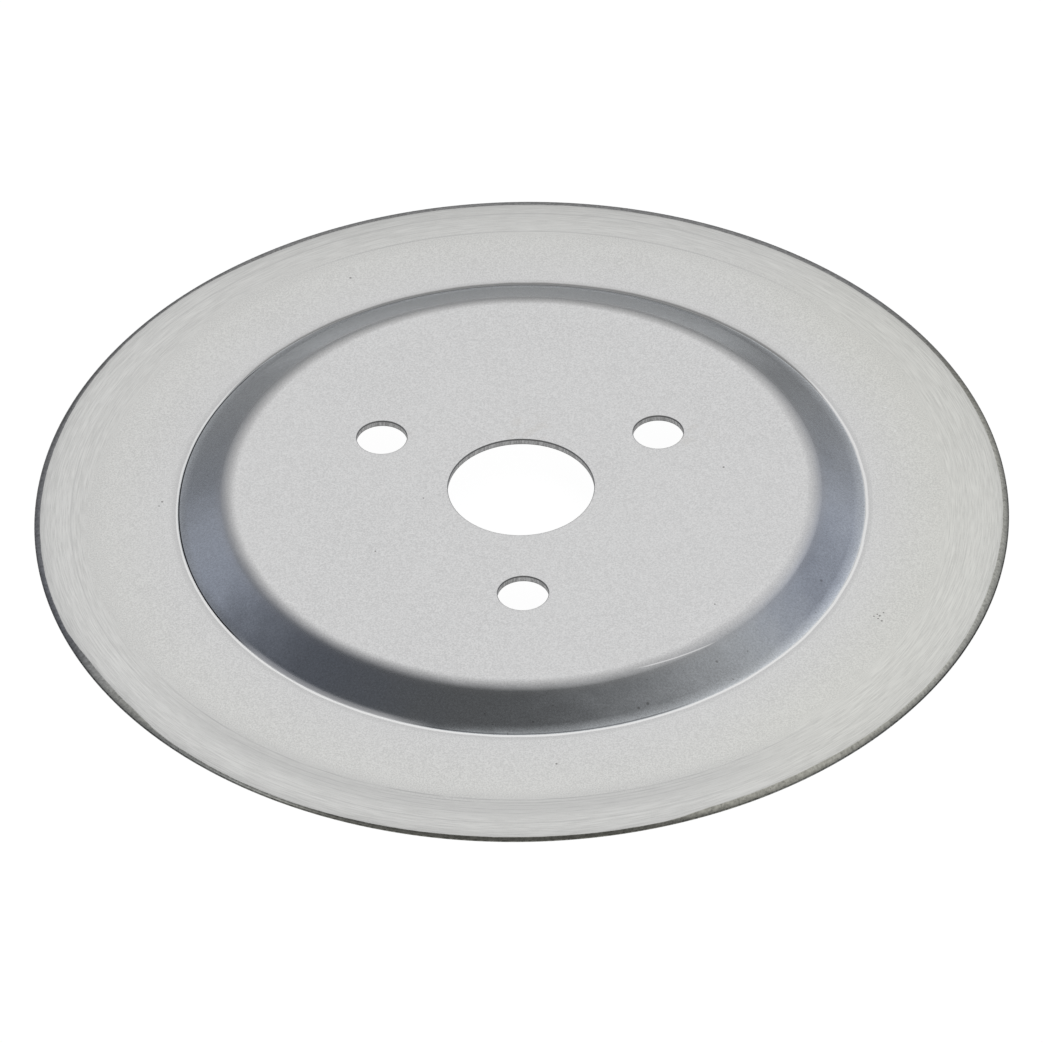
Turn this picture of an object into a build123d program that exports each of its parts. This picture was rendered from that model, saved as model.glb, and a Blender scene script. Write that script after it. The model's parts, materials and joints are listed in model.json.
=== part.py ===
"""Round blade of a domestic food slicer, pressed and ground from one disc of stainless sheet.

The blade lies on its flat back as it would on a bench: the back's rim is at z = 0, the bore
runs along Z, and the raised centre points up. Its section is drawn once, as radius and height,
and spun about the bore. The holes are then punched through the raised centre.

All lengths are millimetres and all angles are degrees.
"""
import os
from math import cos, radians, tan

from build123d import *

# Disc
BLADE_D = 170.0         # over the cutting edge
SHEET_T = 1.2           # thickness of the sheet that the disc is cut from

# Raised centre, measured on the front face
FOOT_D = 120.0          # where the slope leaves the ring, at the corner
CENTRE_RISE = 4.0       # height of the flat centre over the ring beside the foot
SLOPE_ANGLE = 24.5      # of the slope, from the flat centre
SHOULDER_R = 7.0        # soft bend at the top of the slope, on the front face
FOOT_R = 1.0            # crisp bend at the foot, on the front face

# Ring
DISH_ANGLE = 0.7        # the back's ring is a shallow cone, so that only its rim touches

# Ground rim, on the front face
GRIND_D = 144.0         # the ring starts to thin here, in a long arc
BEVEL_W = 1.2           # width of the bevel that the arc ends at
BEVEL_ANGLE = 19.0      # of the bevel, from the back
EDGE_W = 0.2            # width of the honed edge outside it
EDGE_ANGLE = 35.0       # of the honed edge, from the back
EDGE_LAND = 0.05        # thickness that is left at the cutting edge

# Punched holes
BORE_D = 25.5           # centre hole, over the spigot of the drive hub
HOLE_D = 8.8            # fixing holes
HOLE_PCD = 55.9         # circle that they lie on
HOLE_COUNT = 3
FIRST_HOLE_ANGLE = -90.0
PUNCH_ROLL_R = 0.12     # rounding that the punch leaves at each hole, on the front face


def back_height(radius):
    """Height of the back of the ring at a radius."""
    return (BLADE_D / 2 - radius) * tan(radians(DISH_ANGLE))


def front_height(radius):
    """Height of the front of the ring, before grinding."""
    return back_height(radius) + SHEET_T / cos(radians(DISH_ANGLE))


def behind(corner, angle_in, angle_out):
    """The back's corner behind a corner of the front face.

    It lies one sheet thickness from both of the faces that meet there, which fall away from
    the level by angle_in and angle_out.
    """
    normal_in = Vector(0, 1).rotate(Axis.Z, -angle_in)
    normal_out = Vector(0, 1).rotate(Axis.Z, -angle_out)
    return corner - (normal_in + normal_out) * (SHEET_T / (1 + normal_in.dot(normal_out)))


def bevel_points():
    """Corners of the bevels on the front face, from the inner one to the cutting edge."""
    edge_r = BLADE_D / 2
    hone_r = edge_r - EDGE_W
    bevel_r = hone_r - BEVEL_W
    hone_t = EDGE_LAND + EDGE_W * tan(radians(EDGE_ANGLE))
    bevel_t = hone_t + BEVEL_W * tan(radians(BEVEL_ANGLE))
    return [
        Vector(bevel_r, back_height(bevel_r) + bevel_t),
        Vector(hone_r, back_height(hone_r) + hone_t),
        Vector(edge_r, EDGE_LAND),
    ]


def section():
    """Half section of the blade, from the axis to the cutting edge, on the XZ plane."""
    foot = Vector(FOOT_D / 2, front_height(FOOT_D / 2))
    top_z = foot.Y + CENTRE_RISE
    shoulder = Vector(foot.X - CENTRE_RISE / tan(radians(SLOPE_ANGLE)), top_z)
    grind = Vector(GRIND_D / 2, front_height(GRIND_D / 2))
    bevels = bevel_points()
    back_foot = behind(foot, SLOPE_ANGLE, DISH_ANGLE)
    back_shoulder = behind(shoulder, 0, SLOPE_ANGLE)
    bends = [
        (shoulder, SHOULDER_R),
        (back_shoulder, SHOULDER_R - SHEET_T),
        (foot, FOOT_R),
        (back_foot, FOOT_R + SHEET_T),
    ]
    with BuildSketch(Plane.XZ) as sketch:
        with BuildLine():
            Polyline((0, top_z - SHEET_T), (0, top_z), shoulder, foot, grind)
            TangentArc(grind, bevels[0], tangent=grind - foot)
            Polyline(
                *bevels, (BLADE_D / 2, 0), back_foot, back_shoulder, (0, top_z - SHEET_T)
            )
        make_face()
        for corner, radius in bends:
            fillet(sketch.vertices().sort_by_distance(corner)[0], radius)
    return sketch.sketch, top_z


def slicer_blade():
    """The whole blade: the spun disc with its bore and fixing holes."""
    half_section, top_z = section()
    with BuildPart() as blade:
        add(half_section)
        revolve(axis=Axis.Z)
        with Locations((0, 0, top_z)):
            Hole(BORE_D / 2, depth=2 * SHEET_T)
            with PolarLocations(HOLE_PCD / 2, HOLE_COUNT, start_angle=FIRST_HOLE_ANGLE):
                Hole(HOLE_D / 2, depth=2 * SHEET_T)
        flat_centre = blade.faces().filter_by(Axis.Z).sort_by(Axis.Z)[-1]
        fillet(flat_centre.inner_wires().edges(), PUNCH_ROLL_R)
    return blade.part


os.makedirs("parts", exist_ok=True)
export_step(slicer_blade(), "parts/slicer_blade.step")
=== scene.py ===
# %% [markdown]
# # A food slicer blade
#
# The blade is one disc of stainless sheet. A press raised its centre, a punch cut the bore and
# the three fixing holes, and a grinder thinned the rim to an edge. The frame holds its true
# size, and this lesson gives it surfaces that shade and reflect as the real steel does.

# %% Load the frame
import json
from math import atan2, cos, degrees, pi, radians, sin, tan

import bmesh
import bpy
from mathutils import Matrix, Vector, noise


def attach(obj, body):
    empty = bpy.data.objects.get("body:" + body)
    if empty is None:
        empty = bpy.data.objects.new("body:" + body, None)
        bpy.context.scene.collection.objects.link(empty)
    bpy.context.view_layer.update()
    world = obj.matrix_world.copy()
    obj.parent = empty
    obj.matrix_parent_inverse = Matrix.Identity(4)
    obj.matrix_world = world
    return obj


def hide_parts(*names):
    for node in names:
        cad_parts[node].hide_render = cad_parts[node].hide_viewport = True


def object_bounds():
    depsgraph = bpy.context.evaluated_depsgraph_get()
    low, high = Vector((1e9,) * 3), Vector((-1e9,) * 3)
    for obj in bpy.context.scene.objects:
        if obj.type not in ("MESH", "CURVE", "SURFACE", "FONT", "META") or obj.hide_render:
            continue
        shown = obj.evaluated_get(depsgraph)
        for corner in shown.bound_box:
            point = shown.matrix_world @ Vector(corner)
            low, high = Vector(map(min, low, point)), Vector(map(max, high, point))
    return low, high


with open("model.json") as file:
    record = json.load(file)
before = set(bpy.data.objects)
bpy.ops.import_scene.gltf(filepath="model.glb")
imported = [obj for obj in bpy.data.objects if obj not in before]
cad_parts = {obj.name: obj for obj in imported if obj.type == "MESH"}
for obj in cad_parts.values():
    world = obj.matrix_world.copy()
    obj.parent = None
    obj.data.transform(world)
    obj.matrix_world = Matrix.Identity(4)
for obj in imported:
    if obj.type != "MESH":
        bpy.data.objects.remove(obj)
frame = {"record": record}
cad_low, cad_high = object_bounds()
print("frame box in mm:", [round(1000 * length, 2) for length in cad_high - cad_low])

# %% [markdown]
# ## Sizes
#
# Lengths are metres here, so a helper turns millimetres into metres. The overall size and the
# holes are read from the frame. The section's other sizes repeat the ones that the solid was
# drawn with, because the frame holds a mesh and not a drawing.

# %% Read the sizes


def mm(length):
    """Millimetres as metres."""
    return length / 1000


mounts = {mount["name"]: mount for mount in frame["record"]["mounts"]}
edge_r = cad_high.x
top_z = cad_high.z
bore_r = mm(mounts["centre_bore"]["dims"]["r_mm"])
hole_r = mm(mounts["fixing_holes"]["dims"]["hole_r_mm"])
hole_circle_r = mm(mounts["fixing_holes"]["dims"]["pcd_mm"] / 2)
hole_count = mounts["fixing_holes"]["dims"]["count"]
first_hole_angle = radians(-90)

sheet_t = mm(1.2)
foot_r = mm(60.0)
slope_angle = radians(24.5)
dish_angle = radians(0.7)
shoulder_bend = mm(7.0)
foot_bend = mm(1.0)
grind_r = mm(72.0)
bevel_w = mm(1.2)
bevel_angle = radians(19)
hone_w = mm(0.2)
hone_angle = radians(35)
edge_land = mm(0.05)
punch_roll = mm(0.12)
print("edge radius", round(1000 * edge_r, 3), "mm, bore radius", round(1000 * bore_r, 2), "mm")

# %% [markdown]
# ## The section
#
# A pressed and ground disc is the same all the way round, so half of its section, spun once
# about the axis, is the whole blade. The section is a chain of corners, given as radius and
# height. The ring thins along a shallow arc, and the arc's two end tangents meet in one corner
# of the chain, which a bevel then rounds like the bends of the sheet.

# %% Work out the corners of the section


def back_z(radius):
    """Height of the back of the ring, which is a shallow cone down to the rim."""
    return (edge_r - radius) * tan(dish_angle)


def front_z(radius):
    """Height of the front of the ring, before grinding."""
    return back_z(radius) + sheet_t / cos(dish_angle)


def behind(corner, angle_in, angle_out):
    """The back's corner behind a front corner, one sheet thickness from both faces."""
    normals = Vector((sin(angle_in) + sin(angle_out), cos(angle_in) + cos(angle_out)))
    return corner - normals * (sheet_t / (1 + cos(angle_out - angle_in)))


foot = Vector((foot_r, front_z(foot_r)))
shoulder = Vector((foot_r - (top_z - foot.y) / tan(slope_angle), top_z))
back_shoulder = behind(shoulder, 0, slope_angle)
back_foot = behind(foot, slope_angle, dish_angle)

hone_r = edge_r - hone_w
bevel_r = hone_r - bevel_w
hone_t = edge_land + hone_w * tan(hone_angle)
bevel_t = hone_t + bevel_w * tan(bevel_angle)
hone_corner = Vector((hone_r, back_z(hone_r) + hone_t))
bevel_corner = Vector((bevel_r, back_z(bevel_r) + bevel_t))
print("shoulder at", round(1000 * shoulder.x, 2), "mm, bevel starts at", round(1000 * bevel_r, 2))

# %% The arc of the thinned ring
grind_start = Vector((grind_r, front_z(grind_r)))
grind_chord = bevel_corner - grind_start
ring_line = Vector((cos(dish_angle), -sin(dish_angle)))
grind_reach = grind_chord.length_squared / (2 * grind_chord.dot(ring_line))
grind_corner = grind_start + ring_line * grind_reach
grind_turn = ring_line.angle(bevel_corner - grind_corner)
grind_drop = front_z(bevel_r) - bevel_corner.y


def ground_z(radius):
    """Height of the thinned ring's front, along the arc."""
    return front_z(radius) - grind_drop * ((radius - grind_r) / (bevel_r - grind_r)) ** 2


print("ring thins by", round(1000 * grind_drop, 3), "mm")
print("its arc turns by", round(degrees(grind_turn), 2), "degrees")

# %% [markdown]
# ## The tool's print at the foot
#
# The corner of the press tool bit a little into the sheet at the foot of the slope. The slope
# first flares, then ends in a tiny step, and the tool rubbed the ring just outside it. The
# print's outer limit has no height of its own: it only parts two finishes.

# %% Corners of the tool's print
flare_angle = radians(16.5)
flare_start_r = mm(58.85)
step_r = mm(59.82)
step_height = mm(0.03)
print_start_r = mm(59.97)
print_end_r = mm(61.3)
flare_end = Vector((step_r, front_z(step_r) + step_height))
flare_start = flare_end + Vector((-1, tan(flare_angle))) * (step_r - flare_start_r)
tool_print = [
    flare_start, flare_end, Vector((print_start_r, front_z(print_start_r))),
    Vector((print_end_r, front_z(print_end_r))),
]
print("flare:", round(1000 * (flare_start.y - flare_end.y), 3), "mm high")

# %% [markdown]
# ## Spinning the disc
#
# The flat centre is left open here, because its holes break the symmetry. A short flat lip
# inside each bend keeps the bend's shading off the flat centre: its outermost corners then
# point straight up, like the flat's own. Each bend is named by its corner's number in the chain.
# `spin` searches the whole mesh at every step, so a full turn in fine steps takes long. An
# eighth of a turn, doubled three times, is quick.

# %% Helpers for spun pieces
lip = mm(0.4)
tiny = mm(0.001)


def chain(mesh, points):
    """Vertices in the XZ plane, joined one after the other. Returns the vertices."""
    corners = [mesh.verts.new((point[0], 0, point[1])) for point in points]
    for start, end in zip(corners, corners[1:]):
        mesh.edges.new((start, end))
    return corners


def round_corner(mesh, corner, reach, steps):
    """Turns one corner of a chain into an arc that starts at a distance before the corner."""
    bmesh.ops.bevel(
        mesh, geom=[corner], offset=reach, offset_type="OFFSET", segments=steps, profile=0.5,
        affect="VERTICES", material=-1,
    )


def spin_round(mesh, steps):
    """Sweeps everything in a mesh once round the Z axis."""
    bmesh.ops.spin(
        mesh, geom=mesh.verts[:] + mesh.edges[:], cent=(0, 0, 0), axis=(0, 0, 1),
        dvec=(0, 0, 0), angle=pi / 4, steps=steps // 8, use_duplicate=False,
    )
    for turn in (pi / 4, pi / 2, pi):
        copy = bmesh.ops.duplicate(mesh, geom=mesh.verts[:] + mesh.edges[:] + mesh.faces[:])
        copied = [item for item in copy["geom"] if isinstance(item, bmesh.types.BMVert)]
        bmesh.ops.rotate(mesh, verts=copied, cent=(0, 0, 0), matrix=Matrix.Rotation(turn, 3, "Z"))
    bmesh.ops.remove_doubles(mesh, verts=mesh.verts, dist=tiny)


# %% Spin the section
turn_steps = 720
bend_steps = 24


def bend_reach(radius, turn):
    """How far along each side a bend of a radius starts before its corner."""
    return radius * tan(turn / 2)


shoulder_reach = bend_reach(shoulder_bend, slope_angle)
back_shoulder_reach = bend_reach(shoulder_bend - sheet_t, slope_angle)
back_foot_reach = bend_reach(foot_bend + sheet_t, slope_angle - dish_angle)
flare_reach = (step_r - flare_start_r) * 0.9
step_reach = (print_start_r - step_r) / 2
flat_r = shoulder.x - shoulder_reach - lip
blade_mesh = bmesh.new()
corners = chain(blade_mesh, [
    (flat_r, top_z), shoulder, *tool_print, grind_corner, bevel_corner, hone_corner,
    (edge_r, edge_land), (edge_r, 0), back_foot, back_shoulder, (flat_r, top_z - sheet_t),
])
bends = (
    (1, shoulder_reach, bend_steps), (2, flare_reach, bend_steps // 4),
    (4, step_reach, bend_steps // 6), (6, grind_reach, bend_steps // 2),
    (-3, back_foot_reach, bend_steps // 2), (-2, back_shoulder_reach, bend_steps),
)
for number, reach, steps in bends:
    round_corner(blade_mesh, corners[number], reach, steps)
spin_round(blade_mesh, turn_steps)
print("disc:", len(blade_mesh.faces), "faces")

# %% [markdown]
# ## The uneven bevel
#
# A thin disc is never quite flat, so a grinder at a steady angle bites more in some places. The
# bevel's inner edge therefore wanders, and its corners are moved along the thinned ring. The
# angles and radii below were read off the photograph, at the places where the edge changes.

# %% Move the bevel's inner edge
bevel_starts = (
    (0, 83.95), (30, 83.8), (45, 83.55), (60, 83.4), (90, 83.45), (120, 83.5), (135, 83.95),
    (150, 84.0), (165, 83.9), (180, 84.0), (195, 84.15), (200, 84.2), (208, 83.65), (216, 83.75),
    (224, 84.4), (240, 84.5), (270, 84.35), (286, 84.4), (292, 83.75), (305, 83.7),
    (318, 84.0), (332, 83.95), (345, 83.75), (360, 83.95),
)
raggedness = mm(0.05)
bites_per_m = 900


def bevel_start(angle):
    """Radius where the bevel starts at an angle in degrees."""
    for (low, low_r), (high, high_r) in zip(bevel_starts, bevel_starts[1:]):
        if low <= angle <= high:
            share = (angle - low) / (high - low)
            return mm(low_r + (high_r - low_r) * share * share * (3 - 2 * share))


inner_edge = [
    vert for vert in blade_mesh.verts
    if abs(vert.co.xy.length - bevel_r) < tiny and vert.co.z > back_z(bevel_r) + hone_t
]
for vert in inner_edge:
    angle = degrees(atan2(vert.co.y, vert.co.x)) % 360
    radius = bevel_start(angle) + raggedness * noise.noise(vert.co * bites_per_m)
    vert.co.xy *= radius / vert.co.xy.length
    vert.co.z = ground_z(radius)
print("bevel's inner edge:", len(inner_edge), "corners")

# %% Round it a little, as the grit does
edge_rounding = mm(0.1)
inner_corners = set(inner_edge)
bmesh.ops.bevel(
    blade_mesh, geom=[edge for edge in blade_mesh.edges if inner_corners.issuperset(edge.verts)],
    offset=edge_rounding, offset_type="OFFSET", segments=2, profile=0.5, affect="EDGES",
    material=-1,
)
print("disc:", len(blade_mesh.faces), "faces")

# %% [markdown]
# ## Punched holes
#
# A punch first drags the front face down, which rounds the edge. It then shears a smooth band,
# and the rest of the sheet tears off a little wider and rough. Each hole's lip is a second short
# section, spun about the hole's own axis in a mesh of its own and then added to the disc.

# %% Spin the lips of the holes
sheared_share = 0.4
tear_width = mm(0.05)
roll_steps = 6


def add_mesh(mesh, addition):
    """Adds one bmesh to another, and frees the one that was added."""
    carrier = bpy.data.meshes.new("carrier")
    addition.to_mesh(carrier)
    addition.free()
    mesh.from_mesh(carrier)
    bpy.data.meshes.remove(carrier)


def punch_hole(centre, radius, steps):
    """The wall of one punched hole, from a flat lip on the front to one on the back."""
    wall = bmesh.new()
    smooth_z = top_z - punch_roll - sheared_share * sheet_t
    back = top_z - sheet_t
    lip_corners = chain(wall, [
        (radius + punch_roll + lip, top_z), (radius, top_z), (radius, smooth_z),
        (radius + tear_width, smooth_z - 2 * tear_width), (radius + tear_width, back),
        (radius + tear_width + lip, back),
    ])
    round_corner(wall, lip_corners[1], punch_roll, roll_steps)
    spin_round(wall, steps)
    bmesh.ops.translate(wall, verts=wall.verts, vec=(*centre, 0))
    return wall


hole_centres = []
for number in range(hole_count):
    angle = first_hole_angle + number * 2 * pi / hole_count
    hole_centres.append(Vector((hole_circle_r * cos(angle), hole_circle_r * sin(angle))))
add_mesh(blade_mesh, punch_hole((0, 0), bore_r, 288))
for centre in hole_centres:
    add_mesh(blade_mesh, punch_hole(centre, hole_r, 144))
print("holes punched:", 1 + len(hole_centres))

# %% [markdown]
# ## The flat centre
#
# What is still missing is a flat sheet with four round holes, on the front and on the back. Its
# outlines are the open edges of the spun pieces, so `triangle_fill` closes each side with no gap.

# %% Fill the flat centre


def close_flat(mesh, height):
    """Fills the flat between the open edges at one height."""
    outline = [
        edge for edge in mesh.edges
        if edge.is_boundary and all(abs(vert.co.z - height) < tiny for vert in edge.verts)
    ]
    filled = bmesh.ops.triangle_fill(mesh, use_beauty=True, edges=outline, normal=(0, 0, 1))
    return len([item for item in filled["geom"] if isinstance(item, bmesh.types.BMFace)])


print("front:", close_flat(blade_mesh, top_z), "back:", close_flat(blade_mesh, top_z - sheet_t))
bmesh.ops.remove_doubles(blade_mesh, verts=blade_mesh.verts, dist=tiny)
bmesh.ops.recalc_face_normals(blade_mesh, faces=blade_mesh.faces)
print("open edges left:", sum(edge.is_boundary for edge in blade_mesh.edges))

# %% [markdown]
# ## Zones and creases
#
# Pressing, grinding and punching leave their own finish, so each face gets the number of its
# zone, which is also the number of its material. The bevel is told from the ring by its tilt,
# because its inner edge wanders. Faces shade smoothly across bends and sharply at the corners
# that a tool cut.

# %% Number the zones
BACK, PRESSED, DRAWN, PRINTED, GROUND, BEVEL, HONED, SHEARED = range(8)
crease_angle = radians(4)
wall_angle = radians(40)
bevel_tilt = radians(11)
bevel_limit_r = bevel_r - mm(0.5)
facing_down = -0.5


def zone_of(face):
    """The zone that a face belongs to, from where it lies."""
    middle = face.calc_center_median()
    radius = middle.xy.length
    near_hole = any((middle.xy - centre).length < hole_r + punch_roll for centre in hole_centres)
    if (near_hole or radius < bore_r + punch_roll) and face.normal.z > facing_down:
        return SHEARED if abs(face.normal.z) < sin(wall_angle) else PRESSED
    if radius > hone_r and face.normal.z > facing_down:
        return HONED
    if face.normal.z < 0:
        return BACK
    if radius < shoulder.x - shoulder_reach:
        return PRESSED
    if radius > bevel_limit_r and face.normal.z < cos(bevel_tilt):
        return BEVEL
    if radius < print_start_r:
        return DRAWN
    if radius < print_end_r:
        return PRINTED
    return GROUND if radius > grind_r else PRESSED


for face in blade_mesh.faces:
    face.smooth = True
    face.material_index = zone_of(face)
for edge in blade_mesh.edges:
    zones = {face.material_index for face in edge.link_faces}
    cut = zones & {HONED, SHEARED}
    edge.smooth = not (cut and len(zones) > 1 and edge.calc_face_angle() > crease_angle)
print("faces in each zone:", [
    sum(face.material_index == zone for face in blade_mesh.faces) for zone in range(8)
])

# %% Make the blade's object
blade_data = bpy.data.meshes.new("slicer_blade_steel")
blade_mesh.to_mesh(blade_data)
blade_mesh.free()
blade = bpy.data.objects.new("slicer_blade_steel", blade_data)
bpy.context.scene.collection.objects.link(blade)
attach(blade, "root")
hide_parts("slicer_blade")

# %% [markdown]
# ## Helpers for node trees
#
# The steel, the table and the room are all small networks of nodes. A class with short calls
# keeps each network readable: every call adds one node and returns its output, so calls can be
# nested like sums.

# %% Short calls that add nodes


class Bench:
    """Adds and joins the nodes of one tree."""

    def __init__(self, tree):
        self.tree = tree

    def add(self, kind, inputs=(), **settings):
        """Adds a node. Inputs map a socket's name or number to a value or to another output."""
        node = self.tree.nodes.new("ShaderNode" + kind)
        for name, value in settings.items():
            setattr(node, name, value)
        for socket, value in dict(inputs).items():
            self.feed(node.inputs[socket], value)
        return node

    def feed(self, socket, value):
        """Sets a socket to a value, or joins it to another node's output."""
        if isinstance(value, bpy.types.NodeSocket):
            self.tree.links.new(value, socket)
        else:
            socket.default_value = value

    def math(self, operation, first, second=0.0):
        """One sum of two numbers."""
        return self.add("Math", {0: first, 1: second}, operation=operation).outputs[0]

    def vector(self, operation, first, second=(0, 0, 0)):
        """One sum of two vectors that gives a vector."""
        return self.add("VectorMath", {0: first, 1: second}, operation=operation).outputs[0]

    def measure(self, operation, first, second=(0, 0, 0)):
        """One sum of two vectors that gives a number."""
        return self.add("VectorMath", {0: first, 1: second}, operation=operation).outputs[1]

    def most(self, values):
        """The largest of several numbers."""
        largest, *others = values
        for value in others:
            largest = self.math("MAXIMUM", largest, value)
        return largest

    def ramp(self, value, low, high, to_low=0.0, to_high=1.0, soft=True):
        """Maps one range of values to another, and holds it beyond the ends."""
        node = self.add(
            "MapRange",
            {"Value": value, "From Min": low, "From Max": high, "To Min": to_low, "To Max": to_high},
            interpolation_type="SMOOTHSTEP" if soft else "LINEAR",
        )
        return node.outputs["Result"]

    def noise(self, vector, scale=1.0, detail=2.0, roughness=0.5):
        """A noise pattern, from 0 to 1, that varies scale times in each unit of the vector."""
        node = self.add(
            "TexNoise", {"Vector": vector, "Scale": scale, "Detail": detail, "Roughness": roughness}
        )
        return node.outputs["Fac"]

    def mix(self, share, first, second, how="MIX"):
        """Goes from the first colour to the second, or to the two multiplied."""
        node = self.add(
            "Mix", {0: share, 6: first, 7: second}, data_type="RGBA", blend_type=how
        )
        return node.outputs[2]


# %% [markdown]
# ## Steel
#
# Bare steel has no colour of its own beyond the light that it reflects, so its look comes from
# how rough it is and how its surface wanders. Its marks follow the blade's own shape: they run
# round the axis or towards it. Each steel therefore starts from the distance to the axis and
# the direction from it, worked out from the object's coordinates. Where a mark covers only a
# part of the blade, its place is given as a direction, half its width and its fade in degrees.

# %% A steel to start from


def grey(level, warmth=0.0):
    """A grey as a colour, warmer when the warmth is over 0 and cooler when it is under 0."""
    return (level * (1 + warmth), level, level * (1 - 1.5 * warmth), 1)


class Steel(Bench):
    """A bare metal, with calls for marks that follow the blade."""

    def __init__(self, name, roughness):
        self.material = bpy.data.materials.new(name)
        self.material.use_nodes = True
        super().__init__(self.material.node_tree)
        self.shader = self.tree.nodes["Principled BSDF"]
        self.shader.inputs["Metallic"].default_value = 1.0
        self.shader.inputs["Roughness"].default_value = roughness
        self.place = self.add("TexCoord").outputs["Object"]
        self.flat = self.vector("MULTIPLY", self.place, (1, 1, 0))
        self.radius = self.measure("LENGTH", self.flat)
        self.aim = self.vector("NORMALIZE", self.flat)

    def towards(self, angle, half, fade):
        """1 within a half angle of a direction, and 0 beyond the fade. All in degrees."""
        target = (cos(radians(angle)), sin(radians(angle)), 0)
        closeness = self.measure("DOT_PRODUCT", self.aim, target)
        return self.ramp(closeness, cos(radians(half + fade)), cos(radians(half)))

    def sector(self, place, start, full, share=1.0):
        """Rises from 0 to a share between two radii in millimetres, towards one place only."""
        rise = self.ramp(self.radius, mm(start), mm(full), 0, share)
        return self.math("MULTIPLY", self.towards(*place), rise)

    def streaks(self, around, across, lean=0.0, detail=2.0):
        """Noise with so many streaks in a radian round the blade and in a millimetre across."""
        leaning = self.add(
            "VectorRotate", {"Vector": self.aim, "Angle": self.math("MULTIPLY", self.radius, lean)},
            rotation_type="Z_AXIS",
        )
        spread = self.vector("MULTIPLY", leaning.outputs[0], (around, around, 0))
        rise = self.add("CombineXYZ", {2: self.math("MULTIPLY", self.radius, 1000 * across)})
        return self.noise(self.vector("ADD", spread, rise.outputs[0]), detail=detail)

    def spots(self, places):
        """Small marks, each given as x, y and size in millimetres. 1 on a mark."""
        marks = []
        for x, y, size in places:
            gap = self.measure("DISTANCE", self.flat, (mm(x), mm(y), 0))
            marks.append(self.ramp(gap, mm(size), mm(size) / 2))
        return self.most(marks)

    def bump(self, height, depth, under=None):
        """Raises the surface by a depth where the height is 1. Returns the normal."""
        node = self.add("Bump", {"Height": height, "Distance": depth})
        if under:
            self.feed(node.inputs["Normal"], under)
        return node.outputs["Normal"]

    def finish(self, colour=None, roughness=None, normal=None):
        """Joins the patterns to the shader and gives the material to the blade."""
        for name, value in (("Base Color", colour), ("Roughness", roughness), ("Normal", normal)):
            if value is not None:
                self.feed(self.shader.inputs[name], value)
        blade.data.materials.append(self.material)


# %% [markdown]
# ## Pressed steel
#
# The flat centre, the ring and the back keep the dull skin of the sheet. Close up it is finely
# speckled, with no direction. Handling left more on the front: a few dark specks, tiny bright
# nicks and faint brown stains beside the holes. A thin line of painted shade darkens the
# rounding of each hole. The ring is also slightly warmer in colour than the centre, most of all
# on the right.

# %% The sheet's skin, as it is on the back
skin_roughness = 0.34
speckle_per_m = 3900
speckle_depth = mm(0.003)
cloud_per_m = 45


def sheet_skin(steel):
    """The colour of the sheet's skin, and its speckle as a pattern from 0 to 1."""
    speckle = steel.noise(steel.place, speckle_per_m, detail=2.0, roughness=0.7)
    clouds = steel.noise(steel.place, cloud_per_m, detail=3.0)
    darker = steel.mix(steel.ramp(clouds, 0.35, 0.65), grey(0.545), grey(0.56))
    return steel.mix(steel.ramp(speckle, 0.35, 0.65), darker, grey(0.685)), speckle


back = Steel("back_steel", skin_roughness)
colour, speckle = sheet_skin(back)
back.finish(colour, None, back.bump(speckle, speckle_depth))

# %% Pressed steel
painted_shade_rim = mm(0.2)
rim_tint = (1.0, 1.0, 0.955, 1)
warmest = (355, 25, 50)
stain_per_m = 420


def warm(steel, colour):
    """Warms a colour towards the rim, and most on the right."""
    outwards = steel.ramp(steel.radius, foot_r - mm(3), mm(75))
    share = steel.ramp(steel.towards(*warmest), 0, 1, 0.5, 1)
    return steel.mix(steel.math("MULTIPLY", outwards, share), colour, rim_tint, "MULTIPLY")


def front_skin(steel):
    """The skin of the front, and its speckle."""
    colour, speckle = sheet_skin(steel)
    return warm(steel, colour), speckle


pressed = Steel("pressed_steel", skin_roughness)
colour, speckle = front_skin(pressed)
stain = pressed.math(
    "MULTIPLY",
    pressed.ramp(pressed.noise(pressed.place, stain_per_m, detail=4.0), 0.45, 0.6),
    pressed.spots(((1.5, 15.5, 5.0), (31.1, 12.7, 4.5), (-21.0, 14.5, 3.0))),
)
colour = pressed.mix(pressed.math("MULTIPLY", stain, 0.15), colour, grey(0.45, 0.08))
specks = pressed.spots((
    (60.9, -30.6, 0.2), (61.3, -31.0, 0.25), (61.0, -31.7, 0.2), (61.6, -32.3, 0.25),
    (60.3, -31.1, 0.2), (62.0, -30.2, 0.2), (5.1, -67.2, 0.25),
    (-62.7, 2.5, 0.25), (-63.2, 1.4, 0.2), (-29.8, 62.8, 0.25), (-17.0, -2.5, 0.2),
    (-25.4, -16.3, 0.2), (32.9, -31.8, 0.2), (35.4, 4.2, 0.25),
))
nicks = pressed.spots((
    (61.7, -38.1, 0.25), (49.1, -53.3, 0.35), (49.6, -53.0, 0.25), (65.9, 17.8, 0.25),
    (64.5, 24.2, 0.3), (59.4, -41.5, 0.2),
))
colour = pressed.mix(pressed.math("MULTIPLY", specks, 0.8), colour, grey(0.12, 0.03))
colour = pressed.mix(pressed.math("MULTIPLY", nicks, 0.6), colour, grey(0.8))
# Painted shade: a thin dark line in the rounding of each hole.
for centre, hole in [((0, 0), bore_r)] + [(centre, hole_r) for centre in hole_centres]:
    gap = pressed.measure("DISTANCE", pressed.flat, (*centre, 0))
    colour = pressed.mix(pressed.ramp(gap, hole + painted_shade_rim, hole, 0.0, 0.9), colour, grey(0.2))
pressed.finish(colour, None, pressed.bump(speckle, speckle_depth))

# %% [markdown]
# ## Drawn steel
#
# On the slope the sheet slid over the press tool, which polished it. It mirrors the room softly,
# looks a little bluish and mottled, and has a few dark pits. The polish starts on the bend above
# it, where the skin of the sheet fades out.

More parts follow.
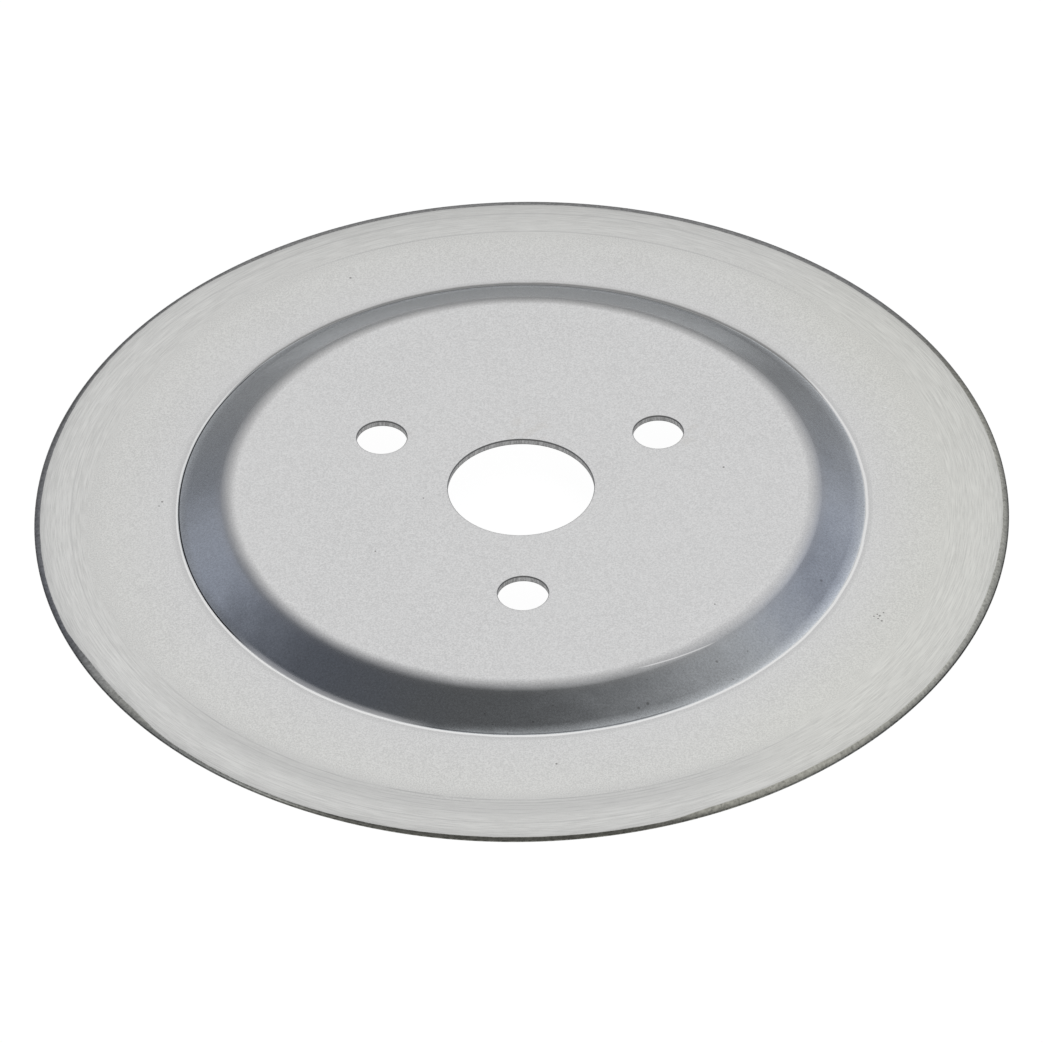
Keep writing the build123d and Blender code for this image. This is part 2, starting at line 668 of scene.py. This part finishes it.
# %% Drawn steel
polish_roughness = 0.2
polish_start_r = mm(50.8)
polish_full_r = mm(54.0)
mottle_per_m = 3000
pits_per_m = 1500
mottle_dark = (0.5, 0.52, 0.54, 1)
mottle_pale = (0.65, 0.68, 0.71, 1)
drawn = Steel("drawn_steel", polish_roughness)
skin = front_skin(drawn)[0]
polish = drawn.ramp(drawn.radius, polish_start_r, polish_full_r)
mottle = drawn.noise(drawn.place, mottle_per_m, detail=3.0, roughness=0.7)
small_pits = drawn.ramp(drawn.noise(drawn.place, pits_per_m, detail=2.0), 0.68, 0.78)
large_pits = drawn.spots((
    (20.9, -53.6, 0.35), (19.3, -54.5, 0.3), (36.7, -36.3, 0.25), (34.9, -38.5, 0.25),
    (32.9, -44.4, 0.3), (51.5, -23.3, 0.3),
))
pits = drawn.math("MULTIPLY", drawn.math("MAXIMUM", small_pits, large_pits), 0.6)
colour = drawn.mix(drawn.ramp(mottle, 0.3, 0.7), mottle_dark, mottle_pale)
colour = drawn.mix(pits, colour, grey(0.2))
colour = drawn.mix(polish, skin, colour)

# %% [markdown]
# ## The foot of the slope
#
# The foot changes as it goes round. A line of painted shade marks it on the left and, more
# weakly, in front. On the far side the flare is painted paler, as a painted highlight, and ends
# in a band of painted shade. At the front left it is dull, and painted pale as a painted
# highlight.

# %% Marks at the foot
foot_shade_r = mm(59.74)
foot_shade_half = mm(0.15)
foot_shade_left = (178, 34, 8)
foot_shade_front = (272, 18, 12)
painted_far_side = (90, 32, 14)
painted_light_flare = (234, 10, 12)
painted_light_step = (220, 20, 10)
# Painted shade: a near-black line along the crease at the foot, on the left and weaker in front.
from_foot_shade = drawn.math("ABSOLUTE", drawn.math("SUBTRACT", drawn.radius, foot_shade_r))
foot_shade_share = drawn.math(
    "MAXIMUM", drawn.towards(*foot_shade_left), drawn.math("MULTIPLY", drawn.towards(*foot_shade_front), 0.5)
)
foot_shade = drawn.math("MULTIPLY", drawn.ramp(from_foot_shade, foot_shade_half, foot_shade_half / 2), foot_shade_share)
colour = drawn.mix(foot_shade, colour, grey(0.02))
# Painted highlight: the far side's flare is made paler. Painted shade: a dark band just outside it.
colour = drawn.mix(drawn.sector(painted_far_side, 58.2, 59.0), colour, grey(1.25), "MULTIPLY")
colour = drawn.mix(drawn.sector(painted_far_side, 59.4, 59.7, 0.8), colour, grey(0.36))
# Painted highlight at the front left: the flare and the step are made pale. Their roughness is also
# made dull.
dull_and_painted_light = drawn.math(
    "MAXIMUM", drawn.sector(painted_light_flare, 58.6, 59.4), drawn.sector(painted_light_step, 59.8, 59.88)
)
colour = drawn.mix(dull_and_painted_light, colour, grey(0.95))

# %% [markdown]
# ## Waves and a scratch
#
# The slope wanders in long shallow waves with short ripples on them, which bend its reflections.
# In front, a long scratch on the bend above it catches the light. The scratch is part of a
# circle round a point beside the axis, so it slants a little across the bend.

# %% Waves, ripples and the scratch
waves_per_m = 70
ripples_per_m = 260
scratch_centre = (mm(4), 0, 0)
scratch_r = mm(50)
scratch_half = mm(0.14)
scratch_place = (300.5, 5, 4)
waves = drawn.noise(drawn.place, waves_per_m, detail=2.0)
ripples = drawn.noise(drawn.place, ripples_per_m, detail=2.0)
normal = drawn.bump(ripples, mm(0.02), drawn.bump(waves, mm(0.25)))
normal = drawn.bump(mottle, mm(0.002), normal)
from_centre = drawn.measure("DISTANCE", drawn.flat, scratch_centre)
from_scratch = drawn.math("ABSOLUTE", drawn.math("SUBTRACT", from_centre, scratch_r))
scratch = drawn.math(
    "MULTIPLY", drawn.ramp(from_scratch, scratch_half, scratch_half / 2),
    drawn.towards(*scratch_place),
)
colour = drawn.mix(scratch, colour, grey(1.0))
polished = drawn.math("MINIMUM", polish, drawn.math("SUBTRACT", 1.0, dull_and_painted_light))
drawn.finish(colour, drawn.ramp(polished, 0, 1, skin_roughness, polish_roughness), normal)

# %% [markdown]
# ## Printed steel
#
# Outside the step the tool's corner rubbed a fine bright line, less than half a millimetre wide,
# and left the ring beside it a little duller. On the far side a soft band of painted shade covers
# the line from its inner side until the line is gone.

# %% Printed steel
line_end_r = mm(60.38)
line_fade = mm(0.1)
line_wobble = mm(0.06)
painted_shade_gap = (90, 38, 37)
print_centre = (mm(0.12), 0, 0)
dull_end_r = mm(61.8)
printed = Steel("printed_steel", skin_roughness)
skin, speckle = front_skin(printed)
unsteady = printed.noise(printed.aim, 9, detail=3.0)
across = printed.math(
    "ADD", printed.measure("DISTANCE", printed.flat, print_centre),
    printed.ramp(unsteady, 0.3, 0.7, -line_wobble, line_wobble),
)
line = printed.ramp(across, line_end_r + line_fade, line_end_r - line_fade)
dull = printed.ramp(across, dull_end_r, line_end_r, 0.0, 0.4)
colour = printed.mix(dull, skin, grey(0.45))
colour = printed.mix(line, colour, grey(0.62))
# Painted shade: a soft dark band over the line's inner side, widest on the far side.
line_start = printed.ramp(printed.towards(*painted_shade_gap), 0, 1, mm(59.8), mm(60.42))
past_start = printed.math("SUBTRACT", across, line_start)
colour = printed.mix(printed.ramp(past_start, mm(-0.2), mm(0.25), 1, 0), colour, grey(0.2))
printed.finish(
    colour, printed.ramp(line, 0, 1, skin_roughness, polish_roughness),
    printed.bump(speckle, speckle_depth),
)

# %% [markdown]
# ## Ground steel
#
# A grinding wheel thinned the ring, and its grit left fine lines that run round the blade. They
# start unevenly a few millimetres outside the place where the ring begins to thin, and some of
# them are deeper. Near the rim painted light makes the ring slightly paler on the left and, less
# so, on the right.

# %% The grinding lines
line_depth = mm(0.0015)
deep_lines = (
    (75.9, 262, 28, 0.3, 0.8), (76.6, 272, 18, 0.25, 0.8), (77.2, 258, 26, 0.2, 0.7),
    (78.1, 266, 22, 0.2, 0.7), (79.0, 260, 16, 0.2, 0.6), (81.2, 268, 20, 0.25, 0.4),
    (75.2, 84, 22, 0.3, 0.5), (80.6, 100, 30, 0.3, 0.4), (78.6, 190, 16, 0.2, 0.4),
    (77.4, 262, 26, 4.5, 0.4),
)
ground = Steel("ground_steel", skin_roughness)
skin, speckle = front_skin(ground)
wander = ground.ramp(ground.noise(ground.aim, 1.6, detail=4.0), 0.3, 0.7, mm(-1.4), mm(1.4))
ground_share = ground.ramp(ground.math("ADD", ground.radius, wander), mm(74.0), mm(76.4))
lines = ground.streaks(13, 5.2, detail=4.0)
fine_lines = ground.streaks(24, 8.0, detail=3.0)
line_height = ground.math("MULTIPLY", ground.math("ADD", lines, fine_lines), ground_share)
deep = []
for radius, angle, half, width, depth in deep_lines:
    offset = ground.math("ABSOLUTE", ground.math("SUBTRACT", ground.radius, mm(radius)))
    deep.append(ground.math(
        "MULTIPLY", ground.ramp(offset, mm(width), 0, 0, depth), ground.towards(angle, half, half)
    ))
deepest = ground.math("MULTIPLY", ground.most(deep), ground.ramp(lines, 0.3, 0.6, 0.3, 1))

# %% Ground steel
painted_light_left = (185, 45, 30)
painted_light_right = (20, 30, 30)
pattern = ground.mix(
    ground.ramp(ground.math("ADD", lines, fine_lines), 0.75, 1.25), grey(0.55), grey(0.69)
)
pattern = ground.mix(ground.ramp(speckle, 0.35, 0.65, 0.0, 0.35), pattern, grey(0.68))
colour = ground.mix(ground_share, skin, warm(ground, pattern))
colour = ground.mix(deepest, colour, grey(0.38))
# Painted light: near the rim the ring is made paler on the left and, less so, on the right.
painted_light_rim = ground.math(
    "MAXIMUM", ground.sector(painted_light_left, 77, 80), ground.sector(painted_light_right, 77, 80, 0.5)
)
colour = ground.mix(painted_light_rim, colour, grey(1.07), "MULTIPLY")
normal = ground.bump(line_height, line_depth, ground.bump(speckle, speckle_depth))
ground.finish(colour, None, normal)

# %% [markdown]
# ## Bevel and honed edge
#
# The bevel was ground across, so its marks point outwards and lean a little. They are coarse
# against its width, which gives it a speckled look. It is darker in places, partly from the grit
# and partly as painted shade, which is strongest on the far side. The grinder's heat left it
# slightly yellow on the near side. Painted shade also darkens it towards the rim. The honed
# edge outside it is a thin line of painted shade.

# %% Bevel steel
bevel_tint = (1.0, 0.985, 0.87, 1)
near_side = (300, 80, 25)
dark_finish_and_shade_places = (
    ((170, 33, 8), 1.0), ((264, 15, 11), 1.0), ((80, 52, 24), 1.0),
    ((304, 14, 10), 0.25), ((5, 22, 18), 0.3),
)
worn_place = (146, 14, 8)
pale_place = (232, 8, 8)
bevel = Steel("bevel_steel", 0.42)
marks = bevel.streaks(150, 1.6, lean=4.0, detail=4.0)
patches = bevel.noise(bevel.place, 1600, detail=3.0)
# Darker places: partly the grinder's finish and partly painted shade, strongest on the far side.
dark_finish_and_shade = bevel.most([
    bevel.math("MULTIPLY", bevel.towards(*place), share) for place, share in dark_finish_and_shade_places
])
plain = bevel.mix(dark_finish_and_shade, grey(0.6), grey(0.29))
bright = bevel.mix(dark_finish_and_shade, grey(0.84), grey(0.46))
colour = bevel.mix(bevel.ramp(marks, 0.3, 0.7), plain, bright)
colour = bevel.mix(bevel.ramp(patches, 0.52, 0.72, 0, 0.45), colour, grey(0.2))
# Painted shade: the bevel is darkened towards the rim.
outwards = bevel.ramp(bevel.radius, mm(84.15), mm(84.8), 0, 0.4)
colour = bevel.mix(outwards, colour, grey(0.15))
colour = bevel.mix(bevel.sector(worn_place, 84.25, 84.5, 0.6), colour, grey(0.15))
colour = bevel.mix(bevel.towards(*pale_place), colour, grey(1.2), "MULTIPLY")
colour = bevel.mix(bevel.towards(*near_side), colour, bevel_tint, "MULTIPLY")
bevel.finish(colour, None, bevel.bump(marks, mm(0.004)))

# %% Honed steel
# Painted shade: the honed edge's colour is made dark, so it reads as a thin dark line at the rim.
honed = Steel("honed_steel", 0.35)
marks = honed.streaks(180, 0.5, lean=2.0, detail=3.0)
colour = honed.mix(honed.ramp(marks, 0.3, 0.7), grey(0.11), grey(0.28))
honed.finish(honed.mix(honed.towards(*near_side), colour, bevel_tint, "MULTIPLY"))

# %% [markdown]
# ## Sheared walls
#
# At the top of each wall the punch left a smooth, dark band. Below it the sheet tore, and the
# torn part is lighter, dull and streaked along the punch's travel, down to a dark lower corner.

# %% Sheared steel
streaks_per_m = 2600
dark_band = mm(0.2)
wall_bottom = top_z - sheet_t
sheared = Steel("sheared_steel", 0.45)
along = sheared.vector("MULTIPLY", sheared.place, (1, 1, 0.15))
streaks = sheared.noise(along, streaks_per_m, detail=3.0, roughness=0.7)
height = sheared.add("SeparateXYZ", {0: sheared.place}).outputs[2]
wall_top = top_z - punch_roll
torn = sheared.math(
    "MULTIPLY", sheared.ramp(height, wall_top - dark_band / 2, wall_top - dark_band),
    sheared.ramp(height, wall_bottom, wall_bottom + dark_band),
)
colour = sheared.mix(sheared.ramp(streaks, 0.3, 0.7), grey(0.38), grey(0.76))
colour = sheared.mix(torn, grey(0.2), colour)
sheared.finish(colour, None, sheared.bump(streaks, mm(0.01)))

# %% [markdown]
# ## Table
#
# The table glows white to the camera, at a strength of 1 less the little that its matt paint
# adds, and the blade darkens that paint a little. The steel mirrors a dimmer table: in the
# photograph the white was put behind the blade afterwards. Seen from below the table is clear,
# so the blade's back can be looked at.

# %% Table
table_size = 6.0
table_glow = 0.95
table_in_steel = 0.5
table_paint = 0.16
bpy.ops.mesh.primitive_plane_add(size=table_size, location=(0, 0, -mm(0.02)))
table = bpy.context.object
table.name = "table"
table_material = bpy.data.materials.new("white_table")
table_material.use_nodes = True
table_material.node_tree.nodes.clear()
table.data.materials.append(table_material)
paint = Bench(table_material.node_tree)
path = paint.add("LightPath").outputs
seen = paint.math("MAXIMUM", path["Is Camera Ray"], path["Is Transmission Ray"])
seen = paint.math("MULTIPLY", seen, table_glow)
mirrored = paint.math("MULTIPLY", path["Is Glossy Ray"], table_in_steel)
glow = paint.add("Emission", {"Strength": paint.math("MAXIMUM", seen, mirrored)})
matt = paint.add("BsdfDiffuse", {"Color": grey(table_paint)})
front = paint.add("AddShader", {0: glow.outputs[0], 1: matt.outputs[0]})
clear = paint.add("BsdfTransparent")
side = paint.add("NewGeometry").outputs["Backfacing"]
both = paint.add("MixShader", {0: side, 1: front.outputs[0], 2: clear.outputs[0]})
paint.add("OutputMaterial", {"Surface": both.outputs[0]})

# %% [markdown]
# ## Room
#
# A metal part shows its surroundings, so the room is part of its look. A large soft window of
# light stands behind the blade, and more light comes from the sides and from behind the camera.
# The ceiling is dark. A level face mirrors the window and looks pale, and a face that tips
# towards the viewer mirrors the ceiling and looks dark. The light from the sides is slightly
# blue. The camera itself sees plain white.

# %% Room
bench_world = bpy.data.worlds.new("studio")
bpy.context.scene.world = bench_world
bench_world.use_nodes = True
room = Bench(bench_world.node_tree)
ray = room.add("SeparateXYZ", {0: room.add("TexCoord").outputs["Generated"]}).outputs
to_degrees = 180 / pi
elevation = room.math("MULTIPLY", room.math("ARCSINE", ray[2]), to_degrees)
azimuth = room.math("MULTIPLY", room.math("ARCTAN2", ray[0], ray[1]), to_degrees)


def band(value, start, full, fading, end):
    """Rises from 0 at the start to 1 where it is full, and falls to 0 again at the end."""
    rise = room.ramp(value, start, full, soft=False)
    fall = room.ramp(value, fading, end, 1, 0, soft=False)
    return room.math("MULTIPLY", rise, fall)


def patch(strength, azimuths, elevations):
    """A soft patch of light, within four azimuths and four elevations in degrees."""
    shape = room.math("MULTIPLY", band(azimuth, *azimuths), band(elevation, *elevations))
    return room.math("MULTIPLY", shape, strength)


# %% Light in the room
low_level = 0.2
ceiling_level = 0.12
light_patches = (
    (1.14, (-36, -8.5, 5.5, 53), (5, 44, 53, 90)),
    (0.5, (20, 35, 64, 113), (35, 56, 57, 95)),
    (0.25, (-69, -50, -38, -32), (5, 25, 41, 45)),
    (0.16, (28, 35, 41, 48), (20, 27, 31, 38)),
    (0.06, (12, 17, 24, 28), (2, 6, 11, 16)),
    (0.09, (-26, -20, -14, -9), (-2, 3, 8, 14)),
)
light = room.ramp(elevation, 50, 55, low_level, ceiling_level)
for strength, azimuths, elevations in light_patches:
    light = room.math("ADD", light, patch(strength, azimuths, elevations))
distance_round = room.math("ABSOLUTE", azimuth)
behind_camera = room.math(
    "MULTIPLY", room.ramp(distance_round, 85, 115), band(elevation, -30, 0, 30, 48)
)
light = room.math("ADD", light, room.math("MULTIPLY", behind_camera, 0.6))

# %% Tint of the sides
plain_light = (1, 1, 1, 1)
side_light = (0.95, 1, 1.15, 1)
is_camera = room.add("LightPath").outputs["Is Camera Ray"]
left_share = room.math("MULTIPLY", room.ramp(azimuth, -15, -50), room.ramp(elevation, 80, 60))
right_share = room.math("MULTIPLY", room.ramp(azimuth, 15, 50), room.ramp(elevation, 60, 40))
share = room.math("MAXIMUM", left_share, right_share)
share = room.math("MULTIPLY", share, room.ramp(distance_round, 105, 140, 1, 0))
tinted = room.mix(share, plain_light, side_light)
background = room.tree.nodes["Background"]
room.feed(background.inputs["Color"], room.mix(is_camera, tinted, plain_light))
room.feed(background.inputs["Strength"], room.math("MAXIMUM", is_camera, light))

# %% [markdown]
# ## Camera
#
# The photograph was taken from well back, about 41 degrees above the table, with the camera
# turned a degree to the side.

# %% Camera
camera_height = radians(41.05)
camera_turn = radians(-1.10)
camera_distance = 1.8
camera_target = Vector((mm(-0.03), mm(-2.88), 0))
lens_mm = 356.5
camera_data = bpy.data.cameras.new("camera")
camera_data.lens = lens_mm
camera_data.clip_start = 0.1
camera = bpy.data.objects.new("camera", camera_data)
bpy.context.scene.collection.objects.link(camera)
look_back = Vector((0, -cos(camera_height), sin(camera_height)))
camera.matrix_world = (
    Matrix.Translation(camera_target + look_back * camera_distance)
    @ Matrix.Rotation(pi / 2 - camera_height, 4, "X")
    @ Matrix.Rotation(camera_turn, 4, "Z")
)
bpy.context.scene.camera = camera
bpy.context.scene.view_settings.view_transform = "Standard"
